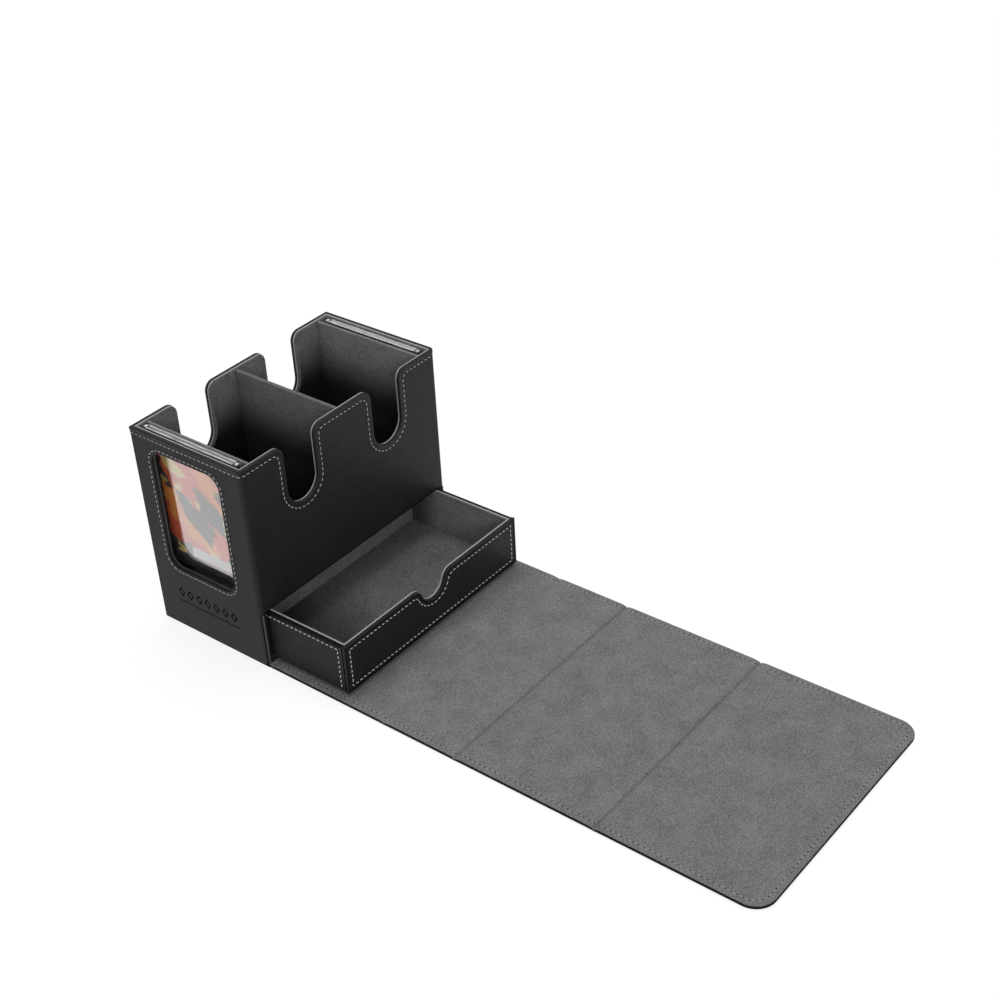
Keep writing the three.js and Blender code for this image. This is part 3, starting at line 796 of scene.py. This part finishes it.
LEATHER = leather("black_leather", (0.0105, 0.0097, 0.0108), emblem=True)
EDGE = leather("turned_leather", (0.009, 0.0083, 0.0093), roughness=0.42, gloss=0.28)
SUEDE = suede("grey_suede", (0.168, 0.161, 0.169), spread=0.72)
# The divider's grey is a darker copy of the wells' suede: painted shade.
WELL_GREY, DIVIDER_SHADED_GREY = (0.178, 0.171, 0.181), (0.134, 0.129, 0.136)
# The drawer's floor and walls take lighter greys, which their painted shade darkens.
FLOOR_GREY, WALL_GREY = (0.195, 0.188, 0.2), (0.212, 0.203, 0.206)
# Painted shade down the wells: the suede turns nearly black below a height, a little higher on the front
# and back walls.
SIDE_WELL_PAINTED_SHADE, BACK_WELL_PAINTED_SHADE = painted_shade_down_a_well(0.09, 0.124), painted_shade_down_a_well(0.094, 0.128)
WELL_SUEDE = suede("well_suede_painted_shade", WELL_GREY, 0.6, SIDE_WELL_PAINTED_SHADE, sheen=0.08)
BACK_SUEDE = suede("well_back_suede_painted_shade", WELL_GREY, 0.6, BACK_WELL_PAINTED_SHADE, sheen=0.08)
DIVIDER_SUEDE = suede("divider_suede", DIVIDER_SHADED_GREY, 0.6, SIDE_WELL_PAINTED_SHADE, sheen=0.08)
FLOOR_SUEDE = suede("drawer_floor_suede_painted_shade", FLOOR_GREY, 0.8, painted_shade_across_the_drawer_floor, sheen=0.08)
WALL_SUEDE = suede("drawer_wall_suede_painted_shade", WALL_GREY, 0.7, painted_shade_along_the_drawer_walls, sheen=0.1)
# A paler copy of the lining's suede for the rolls along the top edges: painted highlight.
ROLL = suede("highlit_rolled_suede_edge", (0.3, 0.295, 0.29), spread=0.15)
# A darker copy of the rolled suede for the rolls in the windows and down the jambs: painted shade.
SHADED_ROLL = suede("shaded_suede_edge", (0.095, 0.092, 0.092), spread=0.15)
WRAP_EDGE = leather("wrap_edge_leather", (0.005, 0.005, 0.006), roughness=0.6, gloss=0.08)
THREAD = thread("pale_thread", (0.78, 0.77, 0.76))
# A greyer thread for the case's rows.
CASE_THREAD = thread("greyer_thread", (0.52, 0.51, 0.505))
WRAP_THREAD = thread("grey_thread", (0.32, 0.31, 0.313))
# Near-black spindles between the threads: painted shade of the needle holes.
STITCH_HOLE_SHADE = board("stitch_hole_shade", (0.004, 0.004, 0.004), gloss=0.0)
CLEAR = clear_plastic("clear_sheet")
FROST = sawn_and_lit_edge("sawn_and_lit_clear_edge", (0.42, 0.415, 0.41), spread=0.6)
# A darker copy of the frosted edge for the left case's mouth: painted shade.
SHADED_HAZE = sawn_and_lit_edge("clear_mouth_painted_shade", (0.17, 0.17, 0.17), spread=0.6)
# A paler copy of the frosted edge for the catches: painted highlight.
CATCH_HIGHLIGHT = sawn_and_lit_edge("clear_catch_highlight", (0.62, 0.62, 0.62), spread=0.5)
# Near-black strips laid in gaps, grooves and seams where there is only shade: painted shade.
SHADE_STRIP = board("groove", (0.003, 0.003, 0.003), gloss=0.0)
BY_SLOT = {
    "leather_black": LEATHER,
    "suede_grey": SUEDE,
    "greyboard": board("greyboard", (0.27, 0.245, 0.2)),
    "clear_plastic": CLEAR,
    "printed_card": printed_card("printed_card"),
    "magnet_steel": steel("plated_magnet", (0.45, 0.46, 0.47)),
}
# Linings that take suedes with painted shade.
BY_NODE = {
    "drawer_floor_lining": FLOOR_SUEDE,
    "drawer_wall_lining": WALL_SUEDE,
    "front_wall_lining": BACK_SUEDE,
    "back_wall_lining": BACK_SUEDE,
    "left_well_lining": WELL_SUEDE,
    "right_well_lining": WELL_SUEDE,
}


# The solids' own finishes, and how the scene's pieces join them
slot_of = {part["node"]: part["material_slot"] for part in frame["record"]["subparts"]}
for name, node in frame["nodes"].items():
    for holder in node.material_slots:
        holder.link = "OBJECT"
        holder.material = BY_NODE.get(name, BY_SLOT[slot_of[name]])


def settle(piece, body, *nodes):
    """The piece rides on its body and stands for the nodes that it replaces, which are hidden."""
    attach(piece, body)
    if nodes:
        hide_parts(*nodes)


def exact_box(node):
    """The low and high corners of a solid's box in millimetres."""
    return [np.array(corner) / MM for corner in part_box(node)]


def set_in(face_y, x, half, near, far, foot, head):
    """Corners of a block about x, from near to far behind a face and between two heights."""
    return [x - half, face_y + near, foot], [x + half, face_y + far, head]


def line_rim(body, rim, gap_shade, roll):
    """Along a rim inside its leather: a near-black strip of painted shade in the gap, the suede's roll,
    pale with a painted highlight, and its lip.
    """
    for kind, section, finish in (("gap_shade", gap_shade, SHADE_STRIP), ("roll", roll, ROLL), ("suede", SUEDE_LIP, SUEDE)):
        settle(band(f"{body}_rim_{kind}", rim, section, finish), body)


# Case
def dress_case_rim():
    """Turned leather along the case's top edge, and the lining's edge inside it."""
    rim = case_rim()
    hide = leather_section(face=2.6, across=1.7, radius=0.85, high=0.5)
    gap_shade = strip_section(near=1.4, far=1.85, top=0.24)
    roll = roll_section(centre=2.36, height=-0.08, half_wide=0.62, half_high=0.42)
    settle(band("case_rim_leather", rim, hide, EDGE), "case")
    line_rim("case", rim, gap_shade, roll)


def dress_window(side, sign):
    """Round a window: turned leather and the thin roll behind it, darker with painted shade."""
    rim = window_rim(sign)
    hide = leather_section(face=1.1, across=2.35, proud=0.14, radius=0.45, high=0.14)
    roll = roll_section(centre=2.62, height=0.02, half_wide=0.22, half_high=0.22)
    settle(band(f"{side}_window_leather", rim, hide, EDGE), "case")
    settle(band(f"{side}_window_roll", rim, roll, SHADED_ROLL), "case")


def dress_jamb(side, sign):
    """Down the case's front beside the drawer: the roll of the lining's edge, darker with painted shade,
    and a near-black strip of painted shade in the groove.
    """
    roll_x, foot = sign * (CASE_X - 1.5), 1.0
    groove_x = roll_x + sign * 0.7
    roll = set_in(-CASE_Y, x=roll_x, half=0.6, near=0.0, far=0.9, foot=foot, head=36.9)
    groove = set_in(-CASE_Y, x=groove_x, half=0.22, near=0.75, far=1.5, foot=foot, head=37.2)
    settle(rounded_block(f"{side}_jamb_roll", *roll, 0.58, SHADED_ROLL), "case")
    settle(rounded_block(f"{side}_jamb_shade_strip", *groove, 0.05, SHADE_STRIP), "case")


def sew_case():
    """One row of stitches under the case's top edge, and one round each window."""
    lines = [line_inside(case_rim(inset=3.4, shoulder_r=4.6), inset=0)]
    lines += [line_inside(window_rim(sign), inset=1.9) for side, sign in SIDES]
    for piece in sewing("case", lines, CASE_THREAD, *ON_LEATHER):
        settle(piece, "case")


def dress_opening():
    """A near-black strip of painted shade in the gap over the drawer, under the front wall's lower edge."""
    half, foot, head = CASE_X - 3.2, OPENING_Z + 0.05, OPENING_Z + 0.65
    gap_shade = set_in(-CASE_Y, x=0, half=half, near=-0.08, far=0.4, foot=foot, head=head)
    settle(rounded_block("opening_top_gap", *gap_shade, 0.05, SHADE_STRIP), "case")


def dress_inner_walls():
    """The divider and the slot liners, with the soft edges of suede drawn over board and painted shade down
    the wells.
    """
    walls = [("divider", 0.9, DIVIDER_SUEDE)]
    walls += [(f"{side}_slot_liner", 0.6, WELL_SUEDE) for side, sign in SIDES]
    for node, radius, nap in walls:
        settle(rounded_block(f"{node}_suede", *exact_box(node), radius, nap), "case", node)


# Display cases
def on_top(low, high, side, end, foot, proud):
    """Corners of what lies along the top of a box: in from its sides and ends, and from foot below its
    top to proud above it."""
    start = [low[0] + side, low[1] + end, high[2] - foot]
    return start, [high[0] - side, high[1] - end, high[2] + proud]


def dress_display(side, mouth_light_and_shade):
    """A clear case: two plates with streaked top edges, their haze in line, and a catch at each end, pale
    with a painted highlight.
    """
    body = f"{side}_display"
    for layer in ("outer", "inner"):
        node = f"{body}_{layer}_plate"
        low, high = exact_box(node)
        settle(rounded_block(f"{node}_clear", low, high, 0.35, CLEAR), body, node)
        edge = on_top(low, high, side=0.1, end=3.3, foot=0.24, proud=0.06)
        settle(rounded_block(f"{node}_top", *edge, 0.14, FROST), body)
    low, high = exact_box(f"{body}_rim")
    mouth = on_top(low, high, side=-0.15, end=3.6, foot=0.5, proud=-0.15)
    # The mouth's finish, given by the caller, carries painted light and shade that differ between the
    # cases.
    settle(rounded_block(f"{body}_mouth", *mouth, 0.16, mouth_light_and_shade), body)
    middle_in, half_catch = 1.5, 0.9
    for end, y in (("near", low[1] + middle_in), ("far", high[1] - middle_in)):
        low[1], high[1] = y - half_catch, y + half_catch
        catch = on_top(low, high, side=-0.5, end=0, foot=0.9, proud=0.08)
        settle(rounded_block(f"{body}_{end}_catch", *catch, 0.3, CATCH_HIGHLIGHT), body)


# Drawer: where its sides' leather ends behind the front, and how far inside an edge its rows run
JOINT_Y = DRAWER_Y + 2.4
BODY_SEW_IN = 3.6


def dress_drawer_rim():
    """The lining's edge along the drawer's top edge."""
    rim = drawer_rim()
    gap_shade = strip_section(near=1.05, far=1.6, top=0.24)
    roll = roll_section(centre=2.25, height=-0.05, half_wide=0.78, half_high=0.45)
    line_rim("drawer", rim, gap_shade, roll)


def dress_drawer_front():
    """Turned leather round all four sides of the drawer's front, and a near-black line of painted shade for
    the seam inside it.
    """
    x, y, low, high, out = DRAWER_FRONT_X, DRAWER_Y, DRAWER_Z0, DRAWER_Z1, [0, -1, 0]
    edge = chain(
        stretch([-x, y, low], out, [-1, 0, -1]),
        stretch([-x, y, high], out, [-1, 0, 1]),
        tuple(part[1:-1] for part in dipped_top(x)),
        stretch([x, y, high], out, [1, 0, 1]),
        stretch([x, y, low], out, [1, 0, -1]),
    )
    hide, seam = leather_section(face=1.1, across=1.25), seam_section(near=1.05, far=1.5)
    settle(band("drawer_front_edge", edge, hide, EDGE), "drawer")
    settle(band("drawer_front_seam_shade", edge, seam, SHADE_STRIP), "drawer")


def dress_drawer_body():
    """Turned leather along the top of the drawer's sides and back."""
    x, back_y, z = DRAWER_X, DRAWER_BACK_Y, DRAWER_Z1
    edge = chain(
        stretch([-x, JOINT_Y, z], [-1, 0, 0], UP),
        stretch([-x, back_y, z], [-1, 1, 0], UP),
        stretch([x, back_y, z], [1, 1, 0], UP),
        stretch([x, JOINT_Y, z], [1, 0, 0], UP),
    )
    hide = leather_section(face=2.0, across=1.6, radius=0.6, high=0.36)
    settle(band("drawer_body_edge", edge, hide, WRAP_EDGE, closed=False), "drawer")


def dress_drawer_joint(side, sign):
    """The upright edge of a side's leather behind the front, and a near-black strip of painted shade in the
    groove between the two.
    """
    edge_y, foot, edge_head = JOINT_Y + 0.3, DRAWER_Z0 + 0.9, DRAWER_Z1 - 0.2
    x = sign * DRAWER_X
    upright = stretch([[x, edge_y, foot], [x, edge_y, edge_head]], [sign, 0, 0], [0, -1, 0])
    hide = leather_section(face=2.0, across=1.6)
    piece = band(f"drawer_{side}_upright_edge", upright, hide, EDGE, closed=False)
    settle(piece, "drawer")
    end_x, head = sign * DRAWER_FRONT_X, DRAWER_Z1 - 0.6
    groove = set_in(DRAWER_Y, x=end_x, half=0.16, near=1.4, far=2.05, foot=foot, head=head)
    settle(rounded_block(f"drawer_{side}_joint_shade_strip", *groove, 0.1, SHADE_STRIP), "drawer")


def sew_drawer():
    """A row round the drawer's front, and one along the top and down the near end of each side."""
    end_in, body_foot = 4.4, 1.2
    end_x, low = DRAWER_FRONT_X - end_in, DRAWER_Z0 + BODY_SEW_IN
    top = dipped_top(end_x, inset=3.5, shoulder_r=5.5)[0]
    row = np.vstack([top, [[end_x, DRAWER_Y, low], [-end_x, DRAWER_Y, low]]])
    lines = [(row, np.broadcast_to([0.0, -1, 0], row.shape), True)]
    near_y, back_y, high = JOINT_Y + BODY_SEW_IN, DRAWER_BACK_Y - BODY_SEW_IN, DRAWER_Z1 - BODY_SEW_IN
    for side, sign in SIDES:
        x = sign * DRAWER_X
        ends = [[x, back_y, high], [x, near_y, high], [x, near_y, DRAWER_Z0 + body_foot]]
        lines.append((np.array(ends), np.broadcast_to([float(sign), 0, 0], (3, 3)), False))
    for piece in sewing("drawer", lines, THREAD, *ON_LEATHER):
        settle(piece, "drawer")


# Wrap: each panel's name with the creases at its ends, and the bodies that each crease joins
PANELS = [("front_lower", "base", "front"), ("front_upper", "front", "top"), ("top_panel", "top", "flap")]
JOINED = {
    "base": ("case", "front_lower"),
    "front": ("front_lower", "front_upper"),
    "top": ("front_upper", "top_panel"),
    "flap": ("top_panel", "closing_flap"),
}
FLAP_Y = CREASES["flap"] - CREASE_HALF["flap"]


def dress_sheet(name, soft, hide, lines):
    """A panel's suede, its leather tray and the sewing along its edges."""
    settle(soft, name, f"{name}_lining")
    settle(leather_under(hide), name, f"{name}_cover")
    for piece in sewing(name, lines, WRAP_THREAD, *ON_SUEDE):
        settle(piece, name)


def dress_panel(name, near, far):
    """A flat panel between two creases."""
    y0, y1 = CREASES[near] - CREASE_HALF[near], CREASES[far] + CREASE_HALF[far]
    soft = wrap_strip(f"{name}_suede", y0, y1, SECTION, SUEDE)
    hide = wrap_strip(f"{name}_leather", y0, y1, TRAY, WRAP_EDGE)
    dress_sheet(name, soft, hide, edge_rows(y0, y1))


def dress_closing_flap():
    """The last panel with its rounded corners, and the sewing that runs round them."""
    soft = flap_sheet("closing_flap_suede", FLAP_Y, SECTION, SUEDE)
    hide = flap_sheet("closing_flap_leather", FLAP_Y, TRAY, WRAP_EDGE)
    points, out, past = flap_outline(FLAP_Y)
    row = points - SEW_INSET * past + [0, 0, SEW_Z]
    dress_sheet("closing_flap", soft, hide, [(row, out, False)])


def dress_crease(crease):
    """A crease: the wrap's suede, leather and sewing, sunk along its fold in place of the crease's solid,
    on no body.
    """
    middle, half, bending_half = CREASES[crease], CREASE_HALF[crease], 3
    y0, y1, fold = middle + half, middle - half, FOLDS[crease]
    soft = wrap_strip(f"{crease}_crease_suede", y0, y1, SECTION, SUEDE, fold)
    hide = leather_under(wrap_strip(f"{crease}_crease_leather", y0, y1, TRAY, WRAP_EDGE, fold))
    sewn = sewing(f"{crease}_crease", edge_rows(y0, y1, fold), WRAP_THREAD, *ON_SUEDE)
    for piece in (soft, hide, *sewn):
        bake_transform(piece)
    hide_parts(f"{crease}_crease")


# The whole object
dress_case_rim()
for side, sign in SIDES:
    dress_window(side, sign)
    dress_jamb(side, sign)
sew_case()
dress_opening()
dress_inner_walls()
# The left case's mouth is darker with painted shade, the right one's paler with painted light.
dress_display("left", SHADED_HAZE)
dress_display("right", FROST)
dress_drawer_rim()
dress_drawer_front()
dress_drawer_body()
for side, sign in SIDES:
    dress_drawer_joint(side, sign)
sew_drawer()
for name, near, far in PANELS:
    dress_panel(name, near, far)
dress_closing_flap()
for crease, (near, far) in JOINED.items():
    dress_crease(crease)


# Floor, light and camera
def white_floor():
    """A wide floor that keeps shadows and looks white to the camera and in reflections, the more so the
    farther it lies from the object."""
    mesh = bpy.data.meshes.new("floor")
    reach, drop = 6.0, -0.0004
    corners = [(-reach, -reach, drop), (reach, -reach, drop), (reach, reach, drop), (-reach, reach, drop)]
    mesh.from_pydata(corners, [], [(0, 1, 2, 3)])
    floor = put("floor", mesh)
    material = new_material("white_floor", (0.85, 0.85, 0.85), 0.9)
    rays = add_node(material, "LightPath").outputs
    seen = calc(material, "MAXIMUM", rays["Is Camera Ray"], rays["Is Glossy Ray"])
    seen = calc(material, "MAXIMUM", seen, rays["Is Transmission Ray"])
    glow = add_node(material, "Emission", Color=(1, 1, 1, 1), Strength=1.08)
    away = add_node(material, "VectorMath", {"operation": "LENGTH"}, i0=coordinates(material))
    glowing = mapped(material, away.outputs["Value"], From_Min=0.6, From_Max=2.5, To_Min=0.75)
    show(material, times(material, seen, glowing), principled(material), glow)
    mesh.materials.append(material)


def studio_world():
    """A white room: seen white by the camera, and a plain soft light on the object."""
    world = bpy.data.worlds.new("studio")
    bpy.context.scene.world = world
    world.use_nodes = True
    light, white = (add_node(world, "Background", Color=(1, 1, 1, 1), Strength=k) for k in (0.5, 1.0))
    show(world, add_node(world, "LightPath").outputs["Is Camera Ray"], light, white)


def softbox(name, place, aim, size, watts):
    """A square lamp that shines towards a point."""
    lamp = bpy.data.lights.new(name, "AREA")
    lamp.shape, lamp.size, lamp.energy = "SQUARE", size, watts
    put(name, lamp, place, (Vector(aim) - Vector(place)).to_track_quat("-Z", "Y"))


def photo_camera():
    """The camera solved from the photograph, by its place, the way it looks and the way up it holds."""
    ahead, above = Vector((0.60676, 0.53903, -0.5842)), Vector((0.48455, 0.3318, 0.8094))
    lens = bpy.data.cameras.new("camera")
    lens.lens, lens.sensor_width = 61.503, 36
    lens.shift_x, lens.shift_y = 0.04793, 0.0677
    turn = Matrix((ahead.cross(above), above, -ahead)).transposed().to_quaternion()
    bpy.context.scene.camera = put("camera", lens, (-0.59614, -0.64889, 0.62734), turn)


white_floor()
studio_world()
softbox("top_light", place=(0.2, 0.2, 1.75), aim=(0, -0.15, 0), size=1.2, watts=17)
softbox("front_light", place=(-2.15, -2.85, 1.75), aim=(0, -0.1, 0.05), size=1.1, watts=30)
photo_camera()
bpy.context.scene.view_settings.view_transform = "Standard"
